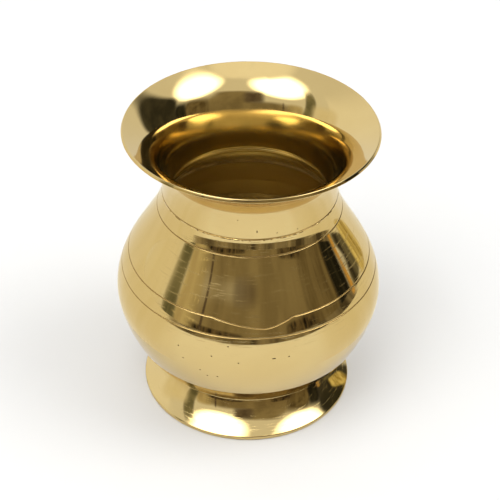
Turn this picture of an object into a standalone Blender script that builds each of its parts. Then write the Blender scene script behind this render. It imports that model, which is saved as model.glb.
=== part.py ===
"""Brass lota: a round water pot of four turned pieces, brazed at the neck, the belly and the foot.

Every piece is a profile in the X-Z plane, turned about +Z with a Screw modifier.
Sizes are in metres, +Z is up, and the origin is the centre of the foot's resting face.
"""

import math

import bpy
from mathutils import Vector

# Radii of the outline, from the mouth down to the foot
RIM_RADIUS = 0.0420
NECK_RADIUS = 0.0290
BELLY_RADIUS = 0.0452
WAIST_RADIUS = 0.0272
FOOT_RADIUS = 0.0366

# Heights of the outline, stacked from the ground up
FOOT_HEIGHT = 0.0135  # ground to the waist
BOWL_HEIGHT = 0.0285  # waist to the widest part of the belly
SHOULDER_HEIGHT = 0.0415  # widest part of the belly to the narrowest part of the neck
MOUTH_HEIGHT = 0.0211  # narrowest part of the neck to the top of the lip

# How far each curve of the outline pulls along its end before it bends away
LIP_PULL = 0.0055
NECK_PULL_UP = 0.0135
FLARE_PULL = 0.0070
THROAT_PULL = 0.0045
NECK_PULL_DOWN = 0.0139
BELLY_PULL_UP = 0.0164
BELLY_PULL_DOWN = 0.0094
WAIST_PULL_OUT = 0.0093
WAIST_PULL_DOWN = 0.0060
FOOT_PULL = 0.0052

# Slopes of the flared ends, from the horizontal
LIP_SLOPE = math.radians(30)
FOOT_SLOPE = math.radians(31)

# The inside of the mouth follows the flare, then closes in slowly to the throat and opens again below it
FLARE_DEPTH = 0.0118  # top of the lip to the foot of the flare
THROAT_DROP = 0.0037  # the throat's narrowest part, below the neck's
THROAT_SLOPE = math.radians(21)  # at the foot of the flare, from the vertical

# Walls
LIP_WALL = 0.0012
FLARE_WALL = 0.0010  # at the foot of the flare
THROAT_WALL = 0.0023  # from the neck's radius to the throat's
BODY_WALL = 0.0013
FOOT_WALL = 0.0018
FOOT_EDGE = 0.0016  # height of the upright edge round the foot
FOOT_BEVEL = 0.0005
FLANGE_WIDTH = 0.0050  # the foot's top flange, from the waist inwards
FLANGE_THICKNESS = 0.0016

# Engraved rings: a pair on the neck and a pair on the belly, with a joint in the lower ring of each pair
NECK_JOINT_DROP = 0.0086  # below the narrowest part of the neck
NECK_RING_SPACING = 0.0058
BELLY_JOINT_RISE = 0.0093  # above the widest part of the belly
BELLY_RING_SPACING = 0.0055
RING_WIDTH = 0.0007
RING_DEPTH = 0.0003

# Joints
JOINT_GAP = 0.0003
SPIGOT_LENGTH = 0.0030
SPIGOT_WALL = 0.0009
SOCKET_WALL = 0.0009
LOCATING_RING_WALL = 0.0016
BEAD_LEG = 0.0012
SOCKET_TAPER = 0.0020  # height over which a socket's thick wall thins to the body's wall

# Fineness of the turned meshes
POINT_SPACING = 0.0035
TURN_STEPS = 48
SHARP_EDGE = math.radians(30)
MERGE_DISTANCE = 0.00001

# Brass and brazing spelter
BRASS = (0.77, 0.55, 0.22)
SPELTER = (0.66, 0.50, 0.27)

# Levels that several pieces share
BELLY_LEVEL = FOOT_HEIGHT + BOWL_HEIGHT
NECK_LEVEL = BELLY_LEVEL + SHOULDER_HEIGHT
TOP_LEVEL = NECK_LEVEL + MOUTH_HEIGHT
NECK_JOINT = NECK_LEVEL - NECK_JOINT_DROP
NECK_RING = NECK_JOINT + NECK_RING_SPACING
BELLY_JOINT = BELLY_LEVEL + BELLY_JOINT_RISE
BELLY_RING = BELLY_JOINT + BELLY_RING_SPACING
SOCKET_DEPTH = SPIGOT_LENGTH + JOINT_GAP + BEAD_LEG

# A profile point is a radius and a height
up = Vector((0.0, 1.0))
out = Vector((1.0, 0.0))


def radius_of(point):
    return point.x


def height_of(point):
    return point.y


def curve(start, start_pull, end_pull, end):
    """A smooth stretch of profile: a function of t, from 0 at its start to 1 at its end."""

    def point(t):
        rest = 1.0 - t
        return rest**3 * start + 3 * rest**2 * t * start_pull + 3 * rest * t**2 * end_pull + t**3 * end

    return point


def inset(path, depth):
    """The same stretch moved inwards, square to the surface; the stretch runs downwards."""
    nudge = 1 / 2000

    def point(t):
        ahead = path(t + nudge) - path(t - nudge)
        inwards = Vector((ahead.y, -ahead.x)).normalized()
        return path(t) + depth * inwards

    return point


def where(path, measure, value):
    """The t at which a stretch reaches a given radius or height, by halving."""
    low, high = 0.0, 1.0
    rising = measure(path(high)) > measure(path(low))
    for _ in range(50):
        middle = (low + high) / 2
        if (measure(path(middle)) < value) == rising:
            low = middle
        else:
            high = middle
    return (low + high) / 2


def run(path, first=0.0, last=1.0):
    """Points along a stretch, no further apart than the point spacing."""
    rough = [path(first + (last - first) * share / 16) for share in range(17)]
    length = sum((b - a).length for a, b in zip(rough, rough[1:]))
    count = max(1, math.ceil(length / POINT_SPACING))
    return [path(first + (last - first) * step / count) for step in range(count + 1)]


# The outline's stretches, each running downwards
belly = Vector((BELLY_RADIUS, BELLY_LEVEL))
neck = Vector((NECK_RADIUS, NECK_LEVEL))
waist = Vector((WAIST_RADIUS, FOOT_HEIGHT))
shoulder_line = curve(neck, neck - NECK_PULL_DOWN * up, belly + BELLY_PULL_UP * up, belly)
bowl_line = curve(belly, belly - BELLY_PULL_DOWN * up, waist + WAIST_PULL_OUT * out, waist)

lip_run = Vector((math.cos(LIP_SLOPE), math.sin(LIP_SLOPE)))
lip = Vector((RIM_RADIUS, TOP_LEVEL - LIP_WALL * math.cos(LIP_SLOPE)))
lip_inside = Vector((RIM_RADIUS - LIP_WALL * math.sin(LIP_SLOPE), TOP_LEVEL))
mouth_line = curve(lip, lip - LIP_PULL * lip_run, neck + NECK_PULL_UP * up, neck)

foot_run = Vector((math.cos(FOOT_SLOPE), -math.sin(FOOT_SLOPE)))
foot_top = waist - JOINT_GAP * up
foot_edge = Vector((FOOT_RADIUS, FOOT_EDGE))
foot_line = curve(foot_top, foot_top - WAIST_PULL_DOWN * up, foot_edge - FOOT_PULL * foot_run, foot_edge)

# The foot's flange sits round the locating ring under the bowl, and a bead runs round the corner below it
FLANGE_BORE = WAIST_RADIUS - FLANGE_WIDTH
FLANGE_UNDERSIDE = foot_top.y - FLANGE_THICKNESS
LOCATING_RING = FLANGE_BORE - JOINT_GAP
LOCATING_RING_END = FLANGE_UNDERSIDE - JOINT_GAP - BEAD_LEG


def level_on(path, height):
    """The point of a stretch at a given height."""
    return path(where(path, height_of, height))


def ring_cut(height):
    """A V-shaped engraved ring in the shoulder's outline, from its upper edge to its lower edge."""
    bottom = inset(shoulder_line, RING_DEPTH)
    return [
        level_on(shoulder_line, height + RING_WIDTH / 2),
        bottom(where(shoulder_line, height_of, height)),
        level_on(shoulder_line, height - RING_WIDTH / 2),
    ]


def between(upper, lower):
    """The shoulder's outline between two heights, ends left out."""
    first = where(shoulder_line, height_of, upper)
    last = where(shoulder_line, height_of, lower)
    return run(shoulder_line, first, last)[1:-1]


class Joint:
    """A brazed joint in an engraved ring: a spigot above drops into a bored socket below."""

    def __init__(self, height):
        self.ring_floor = level_on(shoulder_line, height).x - RING_DEPTH
        self.bore = self.ring_floor - SOCKET_WALL
        self.spigot = self.bore - JOINT_GAP
        self.spigot_bore = self.spigot - SPIGOT_WALL
        self.seat = height - JOINT_GAP / 2
        self.step = height + JOINT_GAP / 2
        self.spigot_end = self.step - SPIGOT_LENGTH
        self.socket_floor = self.seat - SOCKET_DEPTH
        self.upper_edge = height + RING_WIDTH / 2
        self.lower_edge = height - RING_WIDTH / 2

    def spigot_profile(self):
        """The upper piece's lower end: half the ring, the step and the spigot."""
        return [
            level_on(shoulder_line, self.upper_edge),
            Vector((self.ring_floor, self.step)),
            Vector((self.spigot, self.step)),
            Vector((self.spigot, self.spigot_end)),
            Vector((self.spigot_bore, self.spigot_end)),
        ]

    def socket_profile(self):
        """The lower piece's upper end: the socket's bore, the seat and half the ring."""
        return [
            Vector((self.bore, self.socket_floor)),
            Vector((self.bore, self.seat)),
            Vector((self.ring_floor, self.seat)),
            level_on(shoulder_line, self.lower_edge),
        ]

    def bead_profile(self):
        """The spelter bead in the corner under the spigot, against the socket's bore."""
        corner = Vector((self.bore - JOINT_GAP, self.spigot_end - JOINT_GAP))
        return [corner, corner - BEAD_LEG * up, corner - BEAD_LEG * out]


neck_joint = Joint(NECK_JOINT)
belly_joint = Joint(BELLY_JOINT)
body_inside = inset(shoulder_line, BODY_WALL)


def inside_up_to(joint, start):
    """The body's inner wall from a lower t up to the taper under a joint's socket."""
    stop = where(body_inside, height_of, joint.socket_floor - SOCKET_TAPER)
    return run(body_inside, start, stop)


def mouth_collar_profile():
    outside = run(mouth_line)
    outside += between(NECK_LEVEL, NECK_RING + RING_WIDTH / 2) + ring_cut(NECK_RING)
    outside += between(NECK_RING - RING_WIDTH / 2, neck_joint.upper_edge)
    slope = Vector((math.sin(THROAT_SLOPE), math.cos(THROAT_SLOPE)))
    flare_foot = inset(mouth_line, FLARE_WALL)(where(mouth_line, height_of, TOP_LEVEL - FLARE_DEPTH))
    throat = Vector((NECK_RADIUS - THROAT_WALL, NECK_LEVEL - THROAT_DROP))
    below = throat - THROAT_PULL * up
    spigot = neck_joint.spigot_profile()
    flare_top = lip_inside - LIP_PULL * lip_run
    flare_line = curve(lip_inside, flare_top, flare_foot + FLARE_PULL * slope, flare_foot)
    throat_line = curve(flare_foot, flare_foot - THROAT_PULL * slope, throat + THROAT_PULL * up, throat)
    spigot_line = curve(throat, below, below, spigot[-1])
    inside = run(flare_line)[:-1] + run(throat_line)[:-1] + run(spigot_line)[:-1]
    return outside + spigot + inside[::-1]


def shoulder_profile():
    outside = between(neck_joint.lower_edge, BELLY_RING + RING_WIDTH / 2) + ring_cut(BELLY_RING)
    outside += between(BELLY_RING - RING_WIDTH / 2, belly_joint.upper_edge)
    inside = inside_up_to(neck_joint, where(body_inside, radius_of, belly_joint.spigot_bore))
    return neck_joint.socket_profile() + outside + belly_joint.spigot_profile() + inside


def bowl_profile():
    bowl_inside = run(inset(bowl_line, BODY_WALL))[::-1]
    inside = bowl_inside[:-1] + inside_up_to(belly_joint, 1.0)
    outside = between(belly_joint.lower_edge, BELLY_LEVEL) + run(bowl_line)
    floor = [Vector((0.0, FOOT_HEIGHT + BODY_WALL))]
    underside = [
        Vector((LOCATING_RING, FOOT_HEIGHT)),
        Vector((LOCATING_RING, LOCATING_RING_END)),
        Vector((LOCATING_RING - LOCATING_RING_WALL, LOCATING_RING_END)),
        Vector((LOCATING_RING - LOCATING_RING_WALL, FOOT_HEIGHT)),
        Vector((0.0, FOOT_HEIGHT)),
    ]
    return floor + inside + belly_joint.socket_profile() + outside + underside


def foot_profile():
    foot_inside = inset(foot_line, FOOT_WALL)
    top = where(foot_inside, height_of, FLANGE_UNDERSIDE)
    bottom = where(foot_inside, height_of, FOOT_BEVEL)
    inside = run(foot_inside, bottom, top)
    resting_face = [
        Vector((FOOT_RADIUS, FOOT_BEVEL)),
        Vector((FOOT_RADIUS - FOOT_BEVEL, 0.0)),
        Vector((inside[0].x, 0.0)),
    ]
    flange = [Vector((FLANGE_BORE, FLANGE_UNDERSIDE)), Vector((FLANGE_BORE, foot_top.y))]
    return run(foot_line) + resting_face + inside + flange


def foot_bead_profile():
    corner = Vector((LOCATING_RING + JOINT_GAP, FLANGE_UNDERSIDE - JOINT_GAP))
    return [corner + BEAD_LEG * out, corner - BEAD_LEG * up, corner]


def finish(name, colour, roughness):
    """A bare metal finish."""
    material = bpy.data.materials.new(name)
    material.use_nodes = True
    shader = material.node_tree.nodes["Principled BSDF"]
    shader.inputs["Base Color"].default_value = (*colour, 1.0)
    shader.inputs["Metallic"].default_value = 1.0
    shader.inputs["Roughness"].default_value = roughness
    return material


def turned(name, profile, material, closed=True):
    """One turned piece; an open profile starts and ends on the axis."""
    edges = [(i, i + 1) for i in range(len(profile) - 1)]
    if closed:
        edges.append((len(profile) - 1, 0))
    line = bpy.data.meshes.new(name + "_profile")
    line.from_pydata([(point.x, 0.0, point.y) for point in profile], edges, [])
    piece = bpy.data.objects.new(name, line)
    collection.objects.link(piece)
    screw = piece.modifiers.new("turn", "SCREW")
    screw.axis = "Z"
    screw.angle = 2 * math.pi
    screw.steps = TURN_STEPS
    screw.render_steps = TURN_STEPS
    screw.use_merge_vertices = True
    screw.merge_threshold = MERGE_DISTANCE
    evaluated = piece.evaluated_get(bpy.context.evaluated_depsgraph_get())
    piece.data = bpy.data.meshes.new_from_object(evaluated)
    piece.data.name = name
    piece.modifiers.clear()
    bpy.data.meshes.remove(line)
    piece.data.shade_smooth()
    piece.data.set_sharp_from_angle(angle=SHARP_EDGE)
    piece.data.materials.clear()
    piece.data.materials.append(material)
    piece.parent = lota
    return piece


for leftover in list(bpy.data.objects):
    bpy.data.objects.remove(leftover, do_unlink=True)

collection = bpy.data.collections.new("lota")
bpy.context.scene.collection.children.link(collection)
lota = bpy.data.objects.new("lota", None)
collection.objects.link(lota)

turned("mouth_collar", mouth_collar_profile(), finish("polished_brass_mouth", BRASS, 0.12))
turned("shoulder", shoulder_profile(), finish("polished_brass_shoulder", BRASS, 0.12))
turned("bowl", bowl_profile(), finish("polished_brass_bowl", BRASS, 0.14), closed=False)
turned("foot", foot_profile(), finish("polished_brass_foot", BRASS, 0.16))
turned("neck_braze", neck_joint.bead_profile(), finish("spelter_neck", SPELTER, 0.45))
turned("belly_braze", belly_joint.bead_profile(), finish("spelter_belly", SPELTER, 0.45))
turned("foot_braze", foot_bead_profile(), finish("spelter_foot", SPELTER, 0.45))
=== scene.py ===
"""The looks of the brass lota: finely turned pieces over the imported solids, with finishes and a studio."""

import math

import bmesh
import bpy
from mathutils import Matrix, Vector
from mathutils.geometry import interpolate_bezier


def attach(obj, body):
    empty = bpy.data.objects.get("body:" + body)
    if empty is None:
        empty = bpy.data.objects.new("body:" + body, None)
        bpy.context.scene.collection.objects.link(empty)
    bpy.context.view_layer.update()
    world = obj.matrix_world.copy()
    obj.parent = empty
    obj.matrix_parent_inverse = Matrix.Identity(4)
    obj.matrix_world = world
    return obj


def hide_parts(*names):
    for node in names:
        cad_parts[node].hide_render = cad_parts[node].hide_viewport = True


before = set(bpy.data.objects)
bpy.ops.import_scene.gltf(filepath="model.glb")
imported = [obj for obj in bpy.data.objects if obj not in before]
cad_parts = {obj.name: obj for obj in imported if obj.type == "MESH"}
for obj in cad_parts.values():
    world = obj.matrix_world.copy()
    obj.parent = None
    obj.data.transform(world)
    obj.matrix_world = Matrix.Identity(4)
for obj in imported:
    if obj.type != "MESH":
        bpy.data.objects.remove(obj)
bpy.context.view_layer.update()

MM = 0.001

# The outline, in millimetres: radius, then height above the ground
RIM = 42.0
TOP = 104.6
NECK = (29.0, 83.5)
BELLY = (45.2, 42.0)
WAIST = (27.2, 13.5)
FOOT = (36.6, 1.6)
FOOT_BEVEL = 0.5
LIP_SLOPE = math.radians(30)
FOOT_SLOPE = math.radians(31)

# The inside of the mouth: the foot of the flare, the throat's narrowest part, and what lies below it
THROAT_TOP = (29.65, 92.8)
THROAT = (26.7, 79.8)
THROAT_SLOPE = math.radians(21)
THROAT_STRAIGHT = 2.4
RUN_OUT = (0.3, 3.6)  # outwards and down from the throat, where its curve turns to the spigot's end

# How far each curve is pulled along its own direction at an end, in millimetres
LIP_PULL = 5.5
FLARE_PULL = 7.0
THROAT_PULL = 4.5
NECK_PULL_UP = 13.5
NECK_PULL_DOWN = 13.9
BELLY_PULL_UP = 16.4
BELLY_PULL_DOWN = 9.4
WAIST_PULL_OUT = 9.3
WAIST_PULL_DOWN = (0.7, 5.5)  # outwards and down
FOOT_PULL = 5.2

# Fine steps where the turning tool ran out below the throat: their middle height, and millimetres
TOOL_MARKS = 78.2
TOOL_MARK_REACH = 1.6
TOOL_MARK_PITCH = 0.7
TOOL_MARK_DEPTH = 0.1

# Walls and joints, in millimetres
LIP_WALL = 1.2
BODY_WALL = 1.3
FOOT_WALL = 1.8
FLOOR = WAIST[1] + BODY_WALL
FLOOR_RINGS = (9.0, 18.0)  # radii that part the floor into smaller faces
SEAT_GAP = 0.04  # a closed seam, thinner than the eye can see
SPIGOT_LENGTH = 3.0
SPIGOT_GAP = 0.05
SPIGOT_EDGE = 0.2  # a spigot's wall thins to this at its end, flush with the wall below
SPIGOT_TAPER = 4.0  # the wall starts to thin this far above a joint
SOCKET_WALL = 0.45
SOCKET_TAPER = 2.0  # the wall has its own thickness again this far below a socket's floor
BEAD_LEG = 1.2
BEAD_GAP = 0.05  # between a bead and the brass that it lies against
BEAD_HOLLOW = 0.12
BEAD_HOLLOW_AT = 0.45  # share of the way down a bead's face
BEAD_FOOT = Vector((-0.1, 0.2))  # from the wall's first full point to the bead's lowest
FILLET_HOLLOW = 0.42  # share of a leg; a half would make a flat face

# The foot's flange and the bowl's locating ring inside it, in millimetres
FLANGE_BORE = 22.2
FLANGE_UNDERSIDE = 11.6
LOCATING_RING = 21.9
LOCATING_RING_BORE = 20.3
LOCATING_RING_END = 10.1

# Engraved rings, in millimetres
RING_WIDTH = 0.42
RING_DEPTH = 0.15
RING_FLOOR = 0.08  # half the width of a ring's flat floor
NECK_RING = 80.7
NECK_JOINT = 74.9
BELLY_RING = 57.1
BELLY_JOINT = 51.7
RINGS = (NECK_RING, NECK_JOINT, BELLY_RING, BELLY_JOINT)

# The upper belly ring was scribed by hand and dips beside the front: degrees round the pot, and millimetres
DIP_MIDDLE = 8.0
DIP_LEFT = 24.0
DIP_RIGHT = 13.0
DIP_DEPTH = 2.6
DIP_ROUNDING = 1.3  # 1 would be a sharp V
DIP_REACH = 4.4  # how far above and below the ring the surface's points make room for it
DIP_GAIN = 1.2  # over 1, so that the whole width of the ring dips by the same amount

# Casting pits: degrees round the pot from the front, then height
BOWL_PITS = [(-7.6, 48.6), (-14.8, 44.4), (-27.4, 40.4), (11.2, 44.6), (17.8, 44.5)]
BOWL_PITS += [(-3.1, 42.6), (-20.0, 36.8), (-17.2, 34.7), (-12.1, 35.1), (-29.4, 45.0)]
COLLAR_PITS = [(17.5, 82.2), (31.8, 82.0), (-7.0, 87.9), (4.8, 83.4)]
PIT_EDGE = 0.05  # width of the flat edge round a pit, and of its slope
PIT_DEPTH = 0.2
LEVEL_WITHIN = 0.01  # an edge whose ends differ less in height is level

# Rounding of edges, in millimetres: free ones are the lip's and those of the foot's rest
SHARP = math.radians(32)
FREE_BELOW = 3.0
FREE_ABOVE = TOP - 2
FREE_ROUNDING = 0.3
COLLAR_ROUNDING = 0.06
BODY_ROUNDING = 0.05
FOOT_ROUNDING = 0.15
BEAD_ROUNDING = 0.02
ROUNDING_STEPS = 4

# How finely the pieces are turned: steps round the axis, and points along each curve
TURN_STEPS = 240
MOUTH_POINTS = 80
FLARE_POINTS = 60
THROAT_POINTS = 40
RUN_OUT_POINTS = 72
BODY_POINTS = 96
BOWL_POINTS = 80
FOOT_POINTS = 48
FILLET_POINTS = 9
MERGE_DISTANCE = 0.0005


# Profiles


def stretch(start, start_pull, end_pull, end, count):
    """Points of a smooth stretch of outline, running downwards."""
    knots = [Vector((p[0], p[1], 0.0)) for p in (start, start_pull, end_pull, end)]
    return [Vector((p.x, p.y)) for p in interpolate_bezier(*knots, count)]


def thicker(line, wall):
    """A stretch moved inwards, square to itself."""
    moved = []
    for i, point in enumerate(line):
        ahead = line[min(i + 1, len(line) - 1)] - line[max(i - 1, 0)]
        moved.append(point + wall * Vector((ahead.y, -ahead.x)).normalized())
    return moved


def between(line, high, low):
    """The points of a stretch that lie between two heights."""
    return [point for point in line if low < point.y < high]


def radius_at(line, height):
    """A stretch's radius at a height."""
    for above, below in zip(line, line[1:]):
        if above.y >= height >= below.y:
            share = (above.y - height) / (above.y - below.y)
            return above.x + share * (below.x - above.x)
    raise ValueError(f"no point of this stretch is at {height}")


def engraved(line, height):
    """An engraved ring, from its upper edge to its lower edge."""
    radius = radius_at(line, height)
    edges = [height + RING_WIDTH / 2, height - RING_WIDTH / 2]
    upper, lower = [Vector((radius_at(line, edge), edge)) for edge in edges]
    floor = Vector((radius - RING_DEPTH, height))
    return [upper, floor + Vector((0.0, RING_FLOOR)), floor - Vector((0.0, RING_FLOOR)), lower]


def lip_pulled(point):
    """Where a curve that leaves the lip at this point is pulled to."""
    return (point[0] - LIP_PULL * math.cos(LIP_SLOPE), point[1] - LIP_PULL * math.sin(LIP_SLOPE))


neck_pull_down = (NECK[0], NECK[1] - NECK_PULL_DOWN)
belly_pull_up = (BELLY[0], BELLY[1] + BELLY_PULL_UP)
belly_pull_down = (BELLY[0], BELLY[1] - BELLY_PULL_DOWN)
waist_pull_out = (WAIST[0] + WAIST_PULL_OUT, WAIST[1])
body = stretch(NECK, neck_pull_down, belly_pull_up, BELLY, BODY_POINTS)
bowl_line = stretch(BELLY, belly_pull_down, waist_pull_out, WAIST, BOWL_POINTS)
body_inside = thicker(body, BODY_WALL)
bowl_inside = thicker(bowl_line, BODY_WALL)

lip = (RIM, TOP - LIP_WALL * math.cos(LIP_SLOPE))
lip_inside = (RIM - LIP_WALL * math.sin(LIP_SLOPE), TOP)
neck_pull_up = (NECK[0], NECK[1] + NECK_PULL_UP)
mouth = stretch(lip, lip_pulled(lip), neck_pull_up, NECK, MOUTH_POINTS)

foot_top = (WAIST[0], WAIST[1] - SEAT_GAP)
waist_pull_down = (WAIST[0] + WAIST_PULL_DOWN[0], WAIST[1] - WAIST_PULL_DOWN[1])
foot_pull = (FOOT[0] - FOOT_PULL * math.cos(FOOT_SLOPE), FOOT[1] + FOOT_PULL * math.sin(FOOT_SLOPE))
foot_line = stretch(foot_top, waist_pull_down, foot_pull, FOOT, FOOT_POINTS)


class Joint:
    """A brazed joint in an engraved ring: the piece above has a spigot, the piece below a socket."""

    def __init__(self, height):
        self.height = height
        self.floor = radius_at(body, height) - RING_DEPTH
        self.bore = self.floor - SOCKET_WALL
        self.spigot = self.bore - SPIGOT_GAP
        self.inside = self.spigot - SPIGOT_EDGE
        self.spigot_end = height - SPIGOT_LENGTH
        self.socket_floor = self.spigot_end - SPIGOT_GAP - BEAD_LEG
        self.full_wall = self.socket_floor - SOCKET_TAPER

    def above(self):
        """Half the ring, then the spigot down to its inner edge."""
        edge = self.height + RING_WIDTH / 2
        seat = self.height + SEAT_GAP / 2
        return [
            Vector((radius_at(body, edge), edge)),
            Vector((self.floor, seat + RING_FLOOR)),
            Vector((self.floor, seat)),
            Vector((self.spigot, seat)),
            Vector((self.spigot, self.spigot_end)),
            Vector((self.inside, self.spigot_end)),
        ]

    def below(self):
        """The socket's bore from its floor, then half the ring."""
        edge = self.height - RING_WIDTH / 2
        seat = self.height - SEAT_GAP / 2
        return [
            Vector((self.bore, self.socket_floor)),
            Vector((self.bore, seat)),
            Vector((self.floor, seat)),
            Vector((self.floor, seat - RING_FLOOR)),
            Vector((radius_at(body, edge), edge)),
        ]

    def bead(self):
        """The spelter run under the spigot, faired down to the wall below."""
        corner = Vector((self.bore - BEAD_GAP, self.spigot_end - BEAD_GAP))
        edge = Vector((self.inside + BEAD_GAP, self.spigot_end - BEAD_GAP))
        foot = next(p for p in body_inside if p.y < self.full_wall) + BEAD_FOOT
        shelf = Vector((self.bore - BEAD_GAP, self.socket_floor))
        middle = edge * (1 - BEAD_HOLLOW_AT) + foot * BEAD_HOLLOW_AT + Vector((BEAD_HOLLOW, 0))
        return [corner, edge, middle, foot, shelf]


def fillet(corner, along, down):
    """A hollow-faced fillet in a corner, with a leg along each of its two walls."""
    first = corner + BEAD_LEG * along
    last = corner + BEAD_LEG * down
    middle = corner + FILLET_HOLLOW * BEAD_LEG * (along + down)
    first_pull = first * 0.5 + middle * 0.5
    last_pull = last * 0.5 + middle * 0.5
    return [corner, *stretch(first, first_pull, last_pull, last, FILLET_POINTS)]


def tool_mark(point):
    """Moves a point of the throat in or out by the tool's marks, which fade above and below."""
    off = (point.y - TOOL_MARKS) / TOOL_MARK_REACH
    ripple = math.sin(2 * math.pi * point.y / TOOL_MARK_PITCH)
    return point + Vector((TOOL_MARK_DEPTH * max(0.0, 1 - off * off) * ripple, 0.0))


neck_joint = Joint(NECK_JOINT)
belly_joint = Joint(BELLY_JOINT)

cos_throat = math.cos(THROAT_SLOPE)
sin_throat = math.sin(THROAT_SLOPE)
flare_pull = (THROAT_TOP[0] + FLARE_PULL * sin_throat, THROAT_TOP[1] + FLARE_PULL * cos_throat)
throat_top_pull = (THROAT_TOP[0] - THROAT_PULL * sin_throat, THROAT_TOP[1] - THROAT_PULL * cos_throat)
throat_pull = (THROAT[0], THROAT[1] + THROAT_PULL)
below_throat = (THROAT[0], THROAT[1] - THROAT_STRAIGHT)
run_out = (THROAT[0] + RUN_OUT[0], THROAT[1] - RUN_OUT[1])
spigot_edge = (neck_joint.inside, neck_joint.spigot_end)
marked = stretch(THROAT, below_throat, run_out, spigot_edge, RUN_OUT_POINTS)[1:-1]
throat = [
    *stretch(lip_inside, lip_pulled(lip_inside), flare_pull, THROAT_TOP, FLARE_POINTS),
    *stretch(THROAT_TOP, throat_top_pull, throat_pull, THROAT, THROAT_POINTS)[1:],
    *[tool_mark(point) for point in marked],
]

mouth_collar_profile = [
    *mouth[:-1],
    *between(body, NECK[1], NECK_RING + RING_WIDTH / 2),
    *engraved(body, NECK_RING),
    *between(body, NECK_RING - RING_WIDTH / 2, NECK_JOINT + RING_WIDTH / 2),
    *neck_joint.above(),
    *throat[::-1],
]

shoulder_profile = [
    *neck_joint.below(),
    *between(body, NECK_JOINT - RING_WIDTH / 2, BELLY_RING + RING_WIDTH / 2),
    *engraved(body, BELLY_RING),
    *between(body, BELLY_RING - RING_WIDTH / 2, BELLY_JOINT + RING_WIDTH / 2),
    *belly_joint.above(),
    *between(body_inside, neck_joint.full_wall, BELLY_JOINT + SPIGOT_TAPER)[::-1],
]

bowl_profile = [
    *[Vector((radius, FLOOR)) for radius in (0.0, *FLOOR_RINGS)],
    *bowl_inside[:0:-1],
    *[p for p in body_inside[::-1] if p.y < belly_joint.full_wall],
    *belly_joint.below(),
    *between(body, BELLY_JOINT - RING_WIDTH / 2, BELLY[1]),
    *bowl_line,
    Vector((LOCATING_RING, WAIST[1])),
    Vector((LOCATING_RING, LOCATING_RING_END)),
    Vector((LOCATING_RING_BORE, LOCATING_RING_END)),
    Vector((LOCATING_RING_BORE, WAIST[1])),
    Vector((0.0, WAIST[1])),
]

foot_under = between(thicker(foot_line, FOOT_WALL), FLANGE_UNDERSIDE, FOOT_BEVEL)
foot_profile = [
    *foot_line,
    Vector((FOOT[0], FOOT_BEVEL)),
    Vector((FOOT[0] - FOOT_BEVEL, 0.0)),
    Vector((foot_under[-1].x, 0.0)),
    *foot_under[::-1],
    Vector((FLANGE_BORE, FLANGE_UNDERSIDE)),
    Vector((FLANGE_BORE, foot_top[1])),
]

foot_corner = Vector((LOCATING_RING + BEAD_GAP, FLANGE_UNDERSIDE - BEAD_GAP))
foot_bead = fillet(foot_corner, Vector((1, 0)), Vector((0, -1)))


# Finishes

# Sizes of their patterns, in millimetres
BUFF_CLOUD = 14.0
BUFF_LINE = 0.5  # real scratches are about a tenth of this, so they are drawn coarser to show
BUFF_WAVE = 1.6
BUFF_RELIEF = 0.004
INSIDE_CLOUD = 9.0
TOOL_LINE = 0.7
TOOL_RELIEF = 0.03
BROWN_CLOUD = 7.0
SPELTER_GRAIN = 1.2
SPELTER_RELIEF = 0.2
FLUX_STAIN = 5.0
GRIME_CRUMB = 0.15
SCRIBED_CLOUD = 3.0
LAMINATE_CLOUD = 60.0

# Heights at which they change, in millimetres
# Round the waist the brass is painted browner: tarnish where no buff reaches, and painted shade under the
# belly
WAIST_TARNISH_AND_SHADE = 13.0  # the brass is browner round this height
WAIST_TARNISH_AND_SHADE_REACH = (3.0, 6.5)
DULLED = (84.0, 97.0)
AS_CAST = (74.0, 82.0)
CAST_FLOOR = (24.0, 38.0)

# Most of a noise's values lie in the first range, and those of its peaks that are scratches in the second
NOISE_LOW = 0.3
NOISE_HIGH = 0.7
SCRATCH_LOW = 0.56
SCRATCH_HIGH = 0.68

# Settings and sockets of nodes; a Mix node has several sockets of the same name
SMOOTH = {"interpolation_type": "SMOOTHSTEP"}
COLOURS = {"data_type": "RGBA"}
SHARE = 0
NUMBER_A = 2
NUMBER_B = 3
COLOUR_A = 6
COLOUR_B = 7
MIXED_COLOUR = 2


def colour(hex_value):
    """An sRGB hex colour as linear red, green, blue and alpha."""
    channels = [int(hex_value[i : i + 2], 16) / 255 for i in (1, 3, 5)]
    linear = [c / 12.92 if c <= 0.04045 else ((c + 0.055) / 1.055) ** 2.4 for c in channels]
    return (*linear, 1.0)


def add(tree, kind, settings=None, inputs=None):
    """Adds a node; an input is a value, or the output of another node."""
    made = tree.nodes.new(kind)
    for name, value in (settings or {}).items():
        setattr(made, name, value)
    for name, value in (inputs or {}).items():
        if isinstance(value, bpy.types.NodeSocket):
            tree.links.new(value, made.inputs[name])
        else:
            made.inputs[name].default_value = value
    return made


def start(name):
    """An empty material with its shader, and Object coordinates in millimetres."""
    material = bpy.data.materials.new(name)
    material.use_nodes = True
    tree = material.node_tree
    tree.nodes.clear()
    shader = add(tree, "ShaderNodeBsdfPrincipled")
    add(tree, "ShaderNodeOutputMaterial", None, {"Surface": shader.outputs[0]})
    place = add(tree, "ShaderNodeTexCoord").outputs["Object"]
    scaled = add(tree, "ShaderNodeVectorMath", {"operation": "SCALE"}, {0: place, "Scale": 1 / MM})
    return material, tree, shader, scaled.outputs[0]


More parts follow.
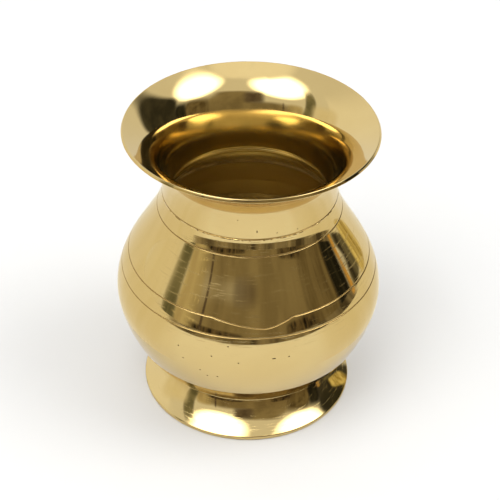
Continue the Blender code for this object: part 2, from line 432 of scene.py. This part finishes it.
def lathe_space(tree, place):
    """Where a point is for the lathe: its direction from the axis, its radius and its height."""
    split = add(tree, "ShaderNodeSeparateXYZ", None, {0: place})
    flat = add(tree, "ShaderNodeVectorMath", {"operation": "MULTIPLY"}, {0: place, 1: (1, 1, 0)})
    radius = add(tree, "ShaderNodeVectorMath", {"operation": "LENGTH"}, {0: flat.outputs[0]})
    turn = add(tree, "ShaderNodeVectorMath", {"operation": "NORMALIZE"}, {0: flat.outputs[0]})
    return turn.outputs[0], radius.outputs["Value"], split.outputs["Z"]


def turning_lines(tree, lathe, spacing, round_detail):
    """Noise drawn out along the lathe's cut: spacing in millimetres across it, slow change round it."""
    turn, radius, height = lathe
    swept = add(tree, "ShaderNodeVectorMath", {"operation": "SCALE"}, {0: turn, "Scale": round_detail})
    out = add(tree, "ShaderNodeCombineXYZ", None, {"Z": radius})
    out = add(
        tree,
        "ShaderNodeVectorMath",
        {"operation": "SCALE"},
        {0: out.outputs[0], "Scale": 1 / spacing},
    )
    both = add(
        tree,
        "ShaderNodeVectorMath",
        {"operation": "ADD"},
        {0: swept.outputs[0], 1: out.outputs[0]},
    )
    depth = add(tree, "ShaderNodeMath", {"operation": "DIVIDE"}, {0: height, 1: spacing})
    noise = add(
        tree,
        "ShaderNodeTexNoise",
        {"noise_dimensions": "4D"},
        {"Vector": both.outputs[0], "W": depth.outputs[0], "Scale": 1.0, "Detail": 2.0},
    )
    return noise.outputs["Fac"]


def polished_brass():
    """Cast brass, turned and buffed: a warm mirror with faint waves and scratches along the lathe's cut.

    It is browner round the waist, where a buff hardly reaches, and with painted shade under the belly.
    """
    material, tree, shader, place = start("turned_and_buffed_cast_brass")
    lathe = lathe_space(tree, place)
    height = lathe[2]
    cloud = add(
        tree,
        "ShaderNodeTexNoise",
        None,
        {"Vector": place, "Scale": 1 / BUFF_CLOUD, "Detail": 3.0},
    )
    buffed = add(
        tree,
        "ShaderNodeMix",
        COLOURS,
        {SHARE: cloud.outputs["Fac"], COLOUR_A: colour("#D7BF84"), COLOUR_B: colour("#D1B77C")},
    )
    # Painted shade and tarnish: a brown mixed in round the waist, strongest at its height, under the belly's
    # overhang
    off_waist = add(tree, "ShaderNodeMath", {"operation": "SUBTRACT"}, {0: height, 1: WAIST_TARNISH_AND_SHADE})
    off_waist = add(tree, "ShaderNodeMath", {"operation": "ABSOLUTE"}, {0: off_waist.outputs[0]})
    full, none = WAIST_TARNISH_AND_SHADE_REACH
    tarnish_and_shade = add(
        tree,
        "ShaderNodeMapRange",
        SMOOTH,
        {"Value": off_waist.outputs[0], "From Min": full, "From Max": none, "To Min": 0.22, "To Max": 0.0},
    )
    tint = add(
        tree,
        "ShaderNodeMix",
        COLOURS,
        {SHARE: tarnish_and_shade.outputs[0], COLOUR_A: buffed.outputs[MIXED_COLOUR], COLOUR_B: colour("#8A6434")},
    )
    tree.links.new(tint.outputs[MIXED_COLOUR], shader.inputs["Base Color"])
    shader.inputs["Metallic"].default_value = 1.0
    fine = turning_lines(tree, lathe, BUFF_LINE, round_detail=3.0)
    gloss = add(
        tree,
        "ShaderNodeMapRange",
        None,
        {"Value": fine, "From Min": NOISE_LOW, "From Max": NOISE_HIGH, "To Min": 0.03, "To Max": 0.07},
    )
    scratch = turning_lines(tree, lathe, BUFF_LINE, round_detail=5.0)
    rough = add(
        tree,
        "ShaderNodeMapRange",
        SMOOTH,
        {"Value": scratch, "From Min": SCRATCH_LOW, "From Max": SCRATCH_HIGH, "To Min": 0.0, "To Max": 0.2},
    )
    rough = add(tree, "ShaderNodeMath", {"operation": "ADD"}, {0: gloss.outputs[0], 1: rough.outputs[0]})
    tree.links.new(rough.outputs[0], shader.inputs["Roughness"])
    waves = turning_lines(tree, lathe, BUFF_WAVE, round_detail=1.0)
    bump = add(
        tree,
        "ShaderNodeBump",
        None,
        {"Strength": 1.0, "Distance": BUFF_RELIEF * MM, "Height": waves},
    )
    tree.links.new(bump.outputs[0], shader.inputs["Normal"])
    return material


def inside_brass():
    """The mouth's mirror dulls down the throat, and below the throat the brass is left as cast."""
    material, tree, shader, place = start("buffed_mouth_to_as_cast_brass")
    lathe = lathe_space(tree, place)
    height = lathe[2]
    low, high = DULLED
    depth = add(
        tree,
        "ShaderNodeMapRange",
        SMOOTH,
        {"Value": height, "From Min": low, "From Max": high, "To Min": 0.18, "To Max": 0.06},
    )
    dulled = add(
        tree,
        "ShaderNodeMapRange",
        None,
        {"Value": height, "From Min": low, "From Max": high, "To Min": 1.0, "To Max": 0.0},
    )
    low, high = AS_CAST
    cast = add(
        tree,
        "ShaderNodeMapRange",
        None,
        {"Value": height, "From Min": low, "From Max": high, "To Min": 1.0, "To Max": 0.0},
    )
    low, high = CAST_FLOOR
    skin = add(
        tree,
        "ShaderNodeMapRange",
        None,
        {"Value": height, "From Min": low, "From Max": high, "To Min": 0.5, "To Max": 0.28},
    )
    cloud = add(
        tree,
        "ShaderNodeTexNoise",
        None,
        {"Vector": place, "Scale": 1 / INSIDE_CLOUD, "Detail": 4.0},
    )
    bright = add(
        tree,
        "ShaderNodeMix",
        COLOURS,
        {SHARE: cloud.outputs["Fac"], COLOUR_A: colour("#D7BF84"), COLOUR_B: colour("#D1B77C")},
    )
    dull = add(
        tree,
        "ShaderNodeMix",
        COLOURS,
        {SHARE: cloud.outputs["Fac"], COLOUR_A: colour("#CCB77D"), COLOUR_B: colour("#BAA56B")},
    )
    tint = add(
        tree,
        "ShaderNodeMix",
        COLOURS,
        {
            SHARE: dulled.outputs[0],
            COLOUR_A: bright.outputs[MIXED_COLOUR],
            COLOUR_B: dull.outputs[MIXED_COLOUR],
        },
    )
    tree.links.new(tint.outputs[MIXED_COLOUR], shader.inputs["Base Color"])
    shader.inputs["Metallic"].default_value = 1.0
    gloss = add(
        tree,
        "ShaderNodeMix",
        None,
        {SHARE: cast.outputs[0], NUMBER_A: depth.outputs[0], NUMBER_B: skin.outputs[0]},
    )
    tree.links.new(gloss.outputs[0], shader.inputs["Roughness"])
    waves = turning_lines(tree, lathe, BUFF_WAVE, round_detail=1.0)
    bump = add(
        tree,
        "ShaderNodeBump",
        None,
        {"Strength": 1.0, "Distance": BUFF_RELIEF * MM, "Height": waves},
    )
    tree.links.new(bump.outputs[0], shader.inputs["Normal"])
    return material


def underside_brass():
    """Turned and left: the tool's own lines show, and the brass has gone brown where no buff reached."""
    material, tree, shader, place = start("turned_unbuffed_brass")
    lathe = lathe_space(tree, place)
    lines = turning_lines(tree, lathe, TOOL_LINE, round_detail=1.5)
    cloud = add(
        tree,
        "ShaderNodeTexNoise",
        None,
        {"Vector": place, "Scale": 1 / BROWN_CLOUD, "Detail": 4.0},
    )
    tint = add(
        tree,
        "ShaderNodeMix",
        COLOURS,
        {SHARE: cloud.outputs["Fac"], COLOUR_A: colour("#C9A25C"), COLOUR_B: colour("#96713A")},
    )
    tree.links.new(tint.outputs[MIXED_COLOUR], shader.inputs["Base Color"])
    shader.inputs["Metallic"].default_value = 1.0
    gloss = add(
        tree,
        "ShaderNodeMapRange",
        None,
        {"Value": lines, "From Min": NOISE_LOW, "From Max": NOISE_HIGH, "To Min": 0.28, "To Max": 0.42},
    )
    tree.links.new(gloss.outputs[0], shader.inputs["Roughness"])
    bump = add(
        tree,
        "ShaderNodeBump",
        None,
        {"Strength": 1.0, "Distance": TOOL_RELIEF * MM, "Height": lines},
    )
    tree.links.new(bump.outputs[0], shader.inputs["Normal"])
    return material


def spelter():
    """Brazing spelter as it ran: paler than the brass, frosty and grainy, with flux stains."""
    material, tree, shader, place = start("brazing_spelter_as_run")
    grain = add(
        tree,
        "ShaderNodeTexNoise",
        None,
        {"Vector": place, "Scale": 1 / SPELTER_GRAIN, "Detail": 5.0},
    ).outputs["Fac"]
    stain = add(
        tree,
        "ShaderNodeTexNoise",
        None,
        {"Vector": place, "Scale": 1 / FLUX_STAIN, "Detail": 2.0},
    )
    tint = add(
        tree,
        "ShaderNodeMix",
        COLOURS,
        {SHARE: stain.outputs["Fac"], COLOUR_A: colour("#D2BC8A"), COLOUR_B: colour("#8F7B52")},
    )
    tree.links.new(tint.outputs[MIXED_COLOUR], shader.inputs["Base Color"])
    shader.inputs["Metallic"].default_value = 1.0
    gloss = add(
        tree,
        "ShaderNodeMapRange",
        None,
        {"Value": grain, "From Min": NOISE_LOW, "From Max": NOISE_HIGH, "To Min": 0.35, "To Max": 0.55},
    )
    tree.links.new(gloss.outputs[0], shader.inputs["Roughness"])
    bump = add(
        tree,
        "ShaderNodeBump",
        None,
        {"Strength": 1.0, "Distance": SPELTER_RELIEF * MM, "Height": grain},
    )
    tree.links.new(bump.outputs[0], shader.inputs["Normal"])
    return material


def pit_grime():
    """Old polish and dirt packed in the casting pits: dark brown, dull and crumbly."""
    material, tree, shader, place = start("polish_grime_in_casting_pits")
    crumbs = add(
        tree,
        "ShaderNodeTexNoise",
        None,
        {"Vector": place, "Scale": 1 / GRIME_CRUMB, "Detail": 3.0},
    )
    tint = add(
        tree,
        "ShaderNodeMix",
        COLOURS,
        {SHARE: crumbs.outputs["Fac"], COLOUR_A: colour("#4A3820"), COLOUR_B: colour("#7E6638")},
    )
    tree.links.new(tint.outputs[MIXED_COLOUR], shader.inputs["Base Color"])
    gloss = add(
        tree,
        "ShaderNodeMapRange",
        None,
        {"Value": crumbs.outputs["Fac"], "To Min": 0.6, "To Max": 0.9},
    )
    tree.links.new(gloss.outputs[0], shader.inputs["Roughness"])
    return material


def scribed_brass():
    """The scribed rings: no buff reaches into them, so they are a dull, browned brass."""
    material, tree, shader, place = start("scribed_brass_browned")
    cloud = add(
        tree,
        "ShaderNodeTexNoise",
        None,
        {"Vector": place, "Scale": 1 / SCRIBED_CLOUD, "Detail": 3.0},
    )
    tint = add(
        tree,
        "ShaderNodeMix",
        COLOURS,
        {SHARE: cloud.outputs["Fac"], COLOUR_A: colour("#AC8E54"), COLOUR_B: colour("#8A6C3A")},
    )
    tree.links.new(tint.outputs[MIXED_COLOUR], shader.inputs["Base Color"])
    shader.inputs["Metallic"].default_value = 1.0
    gloss = add(
        tree,
        "ShaderNodeMapRange",
        None,
        {"Value": cloud.outputs["Fac"], "To Min": 0.34, "To Max": 0.46},
    )
    tree.links.new(gloss.outputs[0], shader.inputs["Roughness"])
    return material


OUTSIDE, INSIDE, UNDERSIDE, PIT, SCRIBED = range(5)
brass_finishes = [polished_brass(), inside_brass(), underside_brass(), pit_grime(), scribed_brass()]
bead_finish = [spelter()]


# Pieces

# How a face's finish is told: cosines of the way it faces, and millimetres
FACES_IN = -0.02
FACES_LEVEL = 0.9
WAIST_MARGIN = 0.5
REST_MARGIN = 1.0
FLOOR_MARGIN = 1.0
SCRIBED_FROM = 0.3  # share of a ring's depth


def side_of(face):
    """Which finish a face of a brass piece has: by the way it faces and how high it lies."""
    middle = face.calc_center_median() / MM
    outwards = Vector((middle.x, middle.y, 0.0)).normalized()
    inwards = face.normal.dot(outwards) < FACES_IN
    if middle.z < WAIST[1] + WAIST_MARGIN:
        hidden = inwards or (face.normal.z < -FACES_LEVEL and middle.z > REST_MARGIN)
        return UNDERSIDE if hidden else OUTSIDE
    floor = face.normal.z > FACES_LEVEL and middle.z < FLOOR + FLOOR_MARGIN
    if inwards or floor:
        return INSIDE
    ringed = any(abs(middle.z - ring) < RING_WIDTH for ring in RINGS)
    if ringed and radius_at(body, middle.z) - middle.xy.length > SCRIBED_FROM * RING_DEPTH:
        return SCRIBED
    return OUTSIDE


def scribed_dip(mesh):
    """Lets the upper belly ring dip, with the points round it slid along the same surface."""
    for vert in mesh.verts:
        place = vert.co / MM
        share = 1 - abs(place.z - BELLY_RING) / DIP_REACH
        angle = math.degrees(math.atan2(place.x, -place.y)) - DIP_MIDDLE
        across = angle / (DIP_LEFT if angle < 0 else DIP_RIGHT)
        if share <= 0 or abs(across) >= 1:
            continue
        radius = math.hypot(place.x, place.y)
        depth = radius_at(body, place.z) - radius
        # Points deeper than a ring belong to the inside
        if depth > 2 * RING_DEPTH:
            continue
        drop = DIP_DEPTH * min(1.0, DIP_GAIN * share) * (1 - abs(across) ** DIP_ROUNDING)
        moved = (radius_at(body, place.z - drop) - depth) / radius
        vert.co = Vector((place.x * moved, place.y * moved, place.z - drop)) * MM


def sink_pits(mesh, pits):
    """Sinks small casting pits, each in the outside face nearest its place."""
    outline = mouth + body[1:] + bowl_line[1:]
    for angle, height in pits:
        turn = math.radians(angle)
        reach = radius_at(outline, height)
        aim = Vector((reach * math.sin(turn), -reach * math.cos(turn), height)) * MM
        face = min(mesh.faces, key=lambda f: (f.calc_center_median() - aim).length_squared)
        # The level edges are halved first, so that the pit is about as wide as it is tall
        level = [e for e in face.edges if abs(e.verts[0].co.z - e.verts[1].co.z) < LEVEL_WITHIN * MM]
        bmesh.ops.subdivide_edges(mesh, edges=level, cuts=1, use_grid_fill=True)
        face = min(mesh.faces, key=lambda f: (f.calc_center_median() - aim).length_squared)
        for depth in (0.0, -PIT_DEPTH):
            bmesh.ops.inset_individual(mesh, faces=[face], thickness=PIT_EDGE * MM, depth=depth * MM)
        pit = {f for e in face.edges for f in e.link_faces}
        for part in pit:
            part.material_index = PIT


def turned(name, profile, node, slot, finishes, rounding, closed=True, dip=False, pits=()):
    """Spins a profile about the axis, softens its edges and puts it in the place of a solid."""
    mesh = bmesh.new()
    line = [mesh.verts.new((point.x * MM, 0.0, point.y * MM)) for point in profile]
    ends = zip(line, line[1:] + line[:1]) if closed else zip(line, line[1:])
    edges = [mesh.edges.new(pair) for pair in ends]
    bmesh.ops.spin(
        mesh,
        geom=line + edges,
        cent=(0, 0, 0),
        axis=(0, 0, 1),
        angle=2 * math.pi,
        steps=TURN_STEPS,
        use_merge=True,
    )
    bmesh.ops.remove_doubles(mesh, verts=mesh.verts, dist=MERGE_DISTANCE * MM)
    bmesh.ops.recalc_face_normals(mesh, faces=mesh.faces)
    sharp = [e for e in mesh.edges if len(e.link_faces) == 2 and e.calc_face_angle() > SHARP]
    inner = [e for e in sharp if FREE_BELOW < e.verts[0].co.z / MM < FREE_ABOVE]
    free = [e for e in sharp if not FREE_BELOW < e.verts[0].co.z / MM < FREE_ABOVE]
    for chosen, offset in ((free, FREE_ROUNDING), (inner, rounding)):
        bmesh.ops.bevel(
            mesh,
            geom=chosen,
            offset=offset * MM,
            affect="EDGES",
            segments=ROUNDING_STEPS,
            profile=0.5,
            material=-1,
            clamp_overlap=True,
        )
    for face in mesh.faces:
        face.smooth = True
        if len(finishes) > 1:
            face.material_index = side_of(face)
    if dip:
        scribed_dip(mesh)
    sink_pits(mesh, pits)
    data = bpy.data.meshes.new(name)
    mesh.to_mesh(data)
    mesh.free()
    for finish in finishes:
        data.materials.append(finish)
    piece = bpy.data.objects.new(name, data)
    bpy.context.scene.collection.objects.link(piece)
    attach(piece, "root")
    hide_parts(node)


BRASS = ("polished_brass", brass_finishes)
SPELTER = ("spelter", bead_finish)
turned("flared_mouth", mouth_collar_profile, "mouth_collar", *BRASS, COLLAR_ROUNDING, pits=COLLAR_PITS)
turned("round_shoulder", shoulder_profile, "shoulder", *BRASS, BODY_ROUNDING, dip=True)
turned("round_bowl", bowl_profile, "bowl", *BRASS, BODY_ROUNDING, closed=False, pits=BOWL_PITS)
turned("flared_foot", foot_profile, "foot", *BRASS, FOOT_ROUNDING)
turned("neck_bead", neck_joint.bead(), "neck_braze", *SPELTER, BEAD_ROUNDING)
turned("belly_bead", belly_joint.bead(), "belly_braze", *SPELTER, BEAD_ROUNDING)
turned("foot_bead", foot_bead, "foot_braze", *SPELTER, BEAD_ROUNDING)


# Studio

# Where its cards and lamps stand, in metres, and how bright the lamps and the air are
CARD_DISTANCE = 2.5
LAMP_DISTANCE = 2.7
LAMP = 5.6
AIR = 0.9

# How cards are made: parts of their mesh, and the streaks between their tones
CARD_ROWS = 8
CARD_COLUMNS = 24
HIGHEST = 89.9  # degrees; a card's mesh stops short of the point overhead
RADIAN = 57.3  # in degrees
STREAK_DRAW = 0.12  # how much slower the streaks change upwards than sideways
STREAK_LOW = 0.38
STREAK_HIGH = 0.62
BORDER_STREAK = 12.0
BORDER_ELEVATIONS = (-30, 30)  # so wide that a sheet on the table feathers at its ends alone

# The table: half its width in metres, and the distances in millimetres over which it gets lighter
TABLE_SIZE = 6.0
TABLE_NEAR = 350.0
TABLE_FAR = 1500.0


def direction(azimuth, elevation):
    """A direction from the pot: azimuth 0 is the camera's side and 90 is the right."""
    turn = math.radians(azimuth)
    rise = math.radians(elevation)
    return Vector((math.cos(rise) * math.sin(turn), -math.cos(rise) * math.cos(turn), math.sin(rise)))


def card_material(name):
    """An empty material for a studio card, and the direction from the pot to each of its points."""
    material = bpy.data.materials.new(name)
    material.use_nodes = True
    tree = material.node_tree
    tree.nodes.clear()
    place = add(tree, "ShaderNodeTexCoord").outputs["Object"]
    ray = add(tree, "ShaderNodeVectorMath", {"operation": "NORMALIZE"}, {0: place})
    return material, tree, ray.outputs[0]


def lamp_glow(name, azimuth, elevation, spread):
    """A soft round lamp: bright in its middle, and at its edge as bright as the air round it."""
    material, tree, ray = card_material(name)
    middle = direction(azimuth, elevation)
    facing = add(tree, "ShaderNodeVectorMath", {"operation": "DOT_PRODUCT"}, {0: ray, 1: middle})
    inner, outer = [math.cos(math.radians(angle)) for angle in spread]
    fade = add(
        tree,
        "ShaderNodeMapRange",
        SMOOTH,
        {
            "Value": facing.outputs["Value"],
            "From Min": outer,
            "From Max": inner,
            "To Min": AIR,
            "To Max": LAMP,
        },
    )
    light = add(tree, "ShaderNodeEmission", None, {"Color": colour("#FFFFFF"), "Strength": fade.outputs[0]})
    add(tree, "ShaderNodeOutputMaterial", None, {"Surface": light.outputs[0]})
    return material


def soft_card(name, azimuths, elevations, tones, streak, soft, lean, strength):
    """A card with upright streaks between two tones, and with rounded, feathered edges."""
    material, tree, ray = card_material(name)
    drawn = add(tree, "ShaderNodeVectorMath", {"operation": "MULTIPLY"}, {0: ray, 1: (1, 1, STREAK_DRAW)})
    noise = add(
        tree,
        "ShaderNodeTexNoise",
        None,
        {"Vector": drawn.outputs[0], "Scale": RADIAN / streak, "Detail": 3.0, "Roughness": 0.6},
    )
    shade = add(
        tree,
        "ShaderNodeMapRange",
        None,
        {"Value": noise.outputs["Fac"], "From Min": STREAK_LOW, "From Max": STREAK_HIGH},
    )
    tone = add(
        tree,
        "ShaderNodeMix",
        COLOURS,
        {SHARE: shade.outputs[0], COLOUR_A: colour(tones[0]), COLOUR_B: colour(tones[1])},
    )
    light = add(
        tree,
        "ShaderNodeEmission",
        None,
        {"Color": tone.outputs[MIXED_COLOUR], "Strength": strength},
    )
    split = add(tree, "ShaderNodeSeparateXYZ", None, {0: ray})
    front = add(tree, "ShaderNodeMath", {"operation": "MULTIPLY"}, {0: split.outputs["Y"], 1: -1.0})
    turn = add(
        tree,
        "ShaderNodeMath",
        {"operation": "ARCTAN2"},
        {0: split.outputs["X"], 1: front.outputs[0]},
    )
    rise = add(tree, "ShaderNodeMath", {"operation": "ARCSINE"}, {0: split.outputs["Z"]})
    shift = add(
        tree,
        "ShaderNodeMath",
        {"operation": "MULTIPLY_ADD"},
        {0: rise.outputs[0], 1: lean, 2: turn.outputs[0]},
    )
    first, last = [math.radians(angle) + lean * math.radians(sum(elevations) / 2) for angle in azimuths]
    low, high = [math.radians(angle) for angle in elevations]
    across = add(
        tree,
        "ShaderNodeMapRange",
        {"clamp": False},
        {"Value": shift.outputs[0], "From Min": first, "From Max": last, "To Min": -1.0},
    )
    up = add(
        tree,
        "ShaderNodeMapRange",
        {"clamp": False},
        {"Value": rise.outputs[0], "From Min": low, "From Max": high, "To Min": -1.0},
    )
    flat = add(tree, "ShaderNodeCombineXYZ", None, {"X": across.outputs[0], "Y": up.outputs[0]})
    square = add(
        tree,
        "ShaderNodeVectorMath",
        {"operation": "MULTIPLY"},
        {0: flat.outputs[0], 1: flat.outputs[0]},
    )
    reach = add(tree, "ShaderNodeVectorMath", {"operation": "LENGTH"}, {0: square.outputs[0]})
    cover = add(
        tree,
        "ShaderNodeMapRange",
        SMOOTH,
        {
            "Value": reach.outputs["Value"],
            "From Min": (1 - soft) ** 2,
            "From Max": (1 + soft) ** 2,
            "To Min": 1.0,
            "To Max": 0.0,
        },
    )
    clear = add(tree, "ShaderNodeBsdfTransparent")
    both = add(
        tree,
        "ShaderNodeMixShader",
        None,
        {SHARE: cover.outputs[0], 1: clear.outputs[0], 2: light.outputs[0]},
    )
    add(tree, "ShaderNodeOutputMaterial", None, {"Surface": both.outputs[0]})
    return material


def staged(name, mesh, material):
    """Puts a studio surface in the scene, out of the camera's own sight."""
    data = bpy.data.meshes.new(name)
    mesh.to_mesh(data)
    mesh.free()
    data.materials.append(material)
    piece = bpy.data.objects.new(name, data)
    bpy.context.scene.collection.objects.link(piece)
    piece.visible_camera = False
    return piece


def bent_card(name, azimuths, elevations, material, distance):
    """A sheet bent round the pot, between two azimuths and two elevations."""
    mesh = bmesh.new()
    first, last = azimuths
    low, high = elevations
    rises = [low + (high - low) * i / CARD_ROWS for i in range(CARD_ROWS + 1)]
    column = [mesh.verts.new(distance * direction(first, rise)) for rise in rises]
    edges = [mesh.edges.new(pair) for pair in zip(column, column[1:])]
    turn = math.radians(last - first)
    bmesh.ops.spin(mesh, geom=column + edges, axis=(0, 0, 1), angle=turn, steps=CARD_COLUMNS)
    return staged(name, mesh, material)


def polish_only(piece):
    """Lets only the pot's polish see a card: it neither shades nor lights the table."""
    piece.visible_diffuse = False
    piece.visible_shadow = False


def card(
    name,
    azimuths,
    elevations,
    tones,
    streak=8.0,
    soft=0.25,
    lean=0.0,
    strength=1.0,
    distance=CARD_DISTANCE,
):
    """A feathered card that the polish reflects; its mesh is larger, to hold the feathered edge."""
    material = soft_card(name, azimuths, elevations, tones, streak, soft, lean, strength)
    wide = (azimuths[1] - azimuths[0]) / 2 * soft + abs(lean) * (elevations[1] - elevations[0]) / 2
    tall = (elevations[1] - elevations[0]) / 2 * soft
    azimuths = (azimuths[0] - wide, azimuths[1] + wide)
    elevations = (elevations[0] - tall, min(elevations[1] + tall, HIGHEST))
    polish_only(bent_card(name, azimuths, elevations, material, distance))


def table_border(name, azimuths, near, far, lift, tones, soft=0.05):
    """A sheet over the table that the polish reflects: near and far in metres, lift in millimetres."""
    material = soft_card(name, azimuths, BORDER_ELEVATIONS, tones, BORDER_STREAK, soft, 0.0, 1.0)
    wide = (azimuths[1] - azimuths[0]) / 2 * soft
    azimuths = (azimuths[0] - wide, azimuths[1] + wide)
    mesh = bmesh.new()
    above = Vector((0, 0, lift * MM))
    line = [mesh.verts.new(reach * direction(azimuths[0], 0.0) + above) for reach in (near, far)]
    edges = [mesh.edges.new(line)]
    turn = math.radians(azimuths[1] - azimuths[0])
    bmesh.ops.spin(mesh, geom=line + edges, axis=(0, 0, 1), angle=turn, steps=CARD_COLUMNS)
    polish_only(staged(name, mesh, material))


def table_top():
    """Matt white laminate: a plain pale table, a shade uneven, and lighter further off."""
    material, tree, shader, place = start("matt_white_laminate")
    cloud = add(
        tree,
        "ShaderNodeTexNoise",
        None,
        {"Vector": place, "Scale": 1 / LAMINATE_CLOUD, "Detail": 2.0},
    )
    away = add(tree, "ShaderNodeVectorMath", {"operation": "LENGTH"}, {0: place})
    far = add(
        tree,
        "ShaderNodeMapRange",
        SMOOTH,
        {"Value": away.outputs["Value"], "From Min": TABLE_NEAR, "From Max": TABLE_FAR},
    )
    near = add(
        tree,
        "ShaderNodeMix",
        COLOURS,
        {SHARE: cloud.outputs["Fac"], COLOUR_A: colour("#D5D5D4"), COLOUR_B: colour("#D1D1D0")},
    )
    tint = add(
        tree,
        "ShaderNodeMix",
        COLOURS,
        {SHARE: far.outputs[0], COLOUR_A: near.outputs[MIXED_COLOUR], COLOUR_B: colour("#EFEFED")},
    )
    tree.links.new(tint.outputs[MIXED_COLOUR], shader.inputs["Base Color"])
    shader.inputs["Roughness"].default_value = 0.7
    shader.inputs["Specular IOR Level"].default_value = 0.1
    mesh = bmesh.new()
    bmesh.ops.create_grid(mesh, x_segments=1, y_segments=1, size=TABLE_SIZE)
    piece = staged("table_top", mesh, material)
    piece.visible_camera = True


table_top()

# Each lamp: its card's azimuths and elevations, then its own azimuth, elevation and spread, in degrees
bent_card("left_lamp", (-100, 20), (26, 89), lamp_glow("left_lamp", -41, 58.5, (13, 25)), LAMP_DISTANCE)
bent_card("right_lamp", (35, 130), (28, 89), lamp_glow("right_lamp", 81, 56, (9.5, 20.5)), LAMP_DISTANCE)

# The two tones of a card
WHITE = ("#FFFFFF", "#FFFFFF")
CREAM = ("#F6F0DB", "#FBF6E7")
TAN = ("#C4B797", "#D8CDAA")
BROWN = ("#867A61", "#9A8E73")
GREY_BROWN = ("#6A6A56", "#8E8B74")
DARK_BROWN = ("#5E534A", "#74695E")
OLIVE_BROWN = ("#5E523A", "#82765C")
MOTTLED_BROWN = ("#4E4638", "#A59A84")
UMBER = ("#1E1812", "#74664E")
BLACK = ("#1E1D19", "#38372F")
SOOT = ("#36352E", "#4A483F")
AMBER = ("#A88A58", "#F1BF69")
NEAR_SOOT = ("#3E3A30", "#767260")
YELLOW = ("#A8924E", "#F4E4A0")

# Cards that give the polish its tones: the top, then from left to right, then the nearest ones.
# Each has its azimuths, its elevations, its tones and the width of its streaks, in degrees
card("top", (-180, 180), (77, 90), WHITE, soft=0.8, strength=1.22, distance=2.6)
card("left_cream", (-108, -79), (-2, 30), CREAM, soft=0.5, distance=2.45)
card("left_side", (-160, -94), (6, 40), WHITE, soft=0.8, strength=1.08, distance=2.9)
card("left_strip", (-79.5, -66), (-6, 52), GREY_BROWN, lean=0.2)
card("left_tan", (-64, -43), (-8, 26), TAN)
card("left_brown", (-47, 20), (-10, 26), BROWN, 14.0)
card("thin_strip", (-39.4, -37.4), (-6, 27), DARK_BROWN, distance=2.3)
card("low_left", (-47, -5), (-4, 6), UMBER, 2.5, distance=2.3)
card("middle", (-14, 9), (25, 47), DARK_BROWN, soft=0.4, distance=2.3)
card("front_brown", (-2, 60), (-10, 42), BROWN, 14.0)
card("front_rise", (4, 46), (36, 49), BROWN, 14.0, soft=0.4, distance=2.6)
card("low_right", (33, 57), (-5, 11), UMBER, 2.5, distance=2.3)
card("right_brown", (54, 86), (-10, 38), OLIVE_BROWN, 6.0, distance=2.4)
card("black_post", (83, 98), (-10, 35), BLACK, 6.0, distance=2.2)
card("right_soot", (96, 143), (4, 45), SOOT, 10.0, soft=0.12, distance=2.3)
card("near_amber", (95.5, 99.5), (1, 12), AMBER, 3.0, distance=0.5)
card("near_soot", (100, 118), (1, 9), NEAR_SOOT, 6.0, distance=0.5)
card("near_yellow", (108.5, 125), (10, 20.5), YELLOW, 3.0, distance=0.175)
table_border("front_border", (-64, 100), 0.41, 2.4, 1.0, MOTTLED_BROWN)
table_border("left_border", (-164, -60), 0.06, 5.0, 0.5, CREAM, soft=0.3)
table_border("right_border", (62, 164), 0.06, 5.0, 0.5, CREAM, soft=0.3)

world = bpy.data.worlds.new("studio")
bpy.context.scene.world = world
world.use_nodes = True
world.node_tree.nodes["Background"].inputs["Color"].default_value = colour("#FFFFFF")
world.node_tree.nodes["Background"].inputs["Strength"].default_value = AIR


# Camera

# Its place, lens, film width and nearest sight, in millimetres, and how it is turned
CAMERA_AT = (0.0, -406.7, 361.1)
LENS = 107.39
FILM_WIDTH = 36.0
NEAREST_SEEN = 10.0
LOOK_DOWN = math.radians(37.006)
LOOK_ASIDE = math.radians(0.056)
LEAN = math.radians(1.145)

ahead = Vector(
    (
        math.sin(LOOK_ASIDE) * math.cos(LOOK_DOWN),
        math.cos(LOOK_ASIDE) * math.cos(LOOK_DOWN),
        -math.sin(LOOK_DOWN),
    )
)
level = Vector((math.cos(LOOK_ASIDE), -math.sin(LOOK_ASIDE), 0.0))
above = level.cross(ahead)
right = level * math.cos(LEAN) + above * math.sin(LEAN)
top = above * math.cos(LEAN) - level * math.sin(LEAN)
aim = Matrix((right, top, -ahead)).transposed().to_4x4()
camera = bpy.data.objects.new("camera", bpy.data.cameras.new("camera"))
camera.data.lens = LENS
camera.data.sensor_width = FILM_WIDTH
camera.data.clip_start = NEAREST_SEEN * MM
camera.matrix_world = Matrix.Translation(Vector(CAMERA_AT) * MM) @ aim
bpy.context.scene.collection.objects.link(camera)
bpy.context.scene.camera = camera
bpy.context.scene.view_settings.view_transform = "Standard"
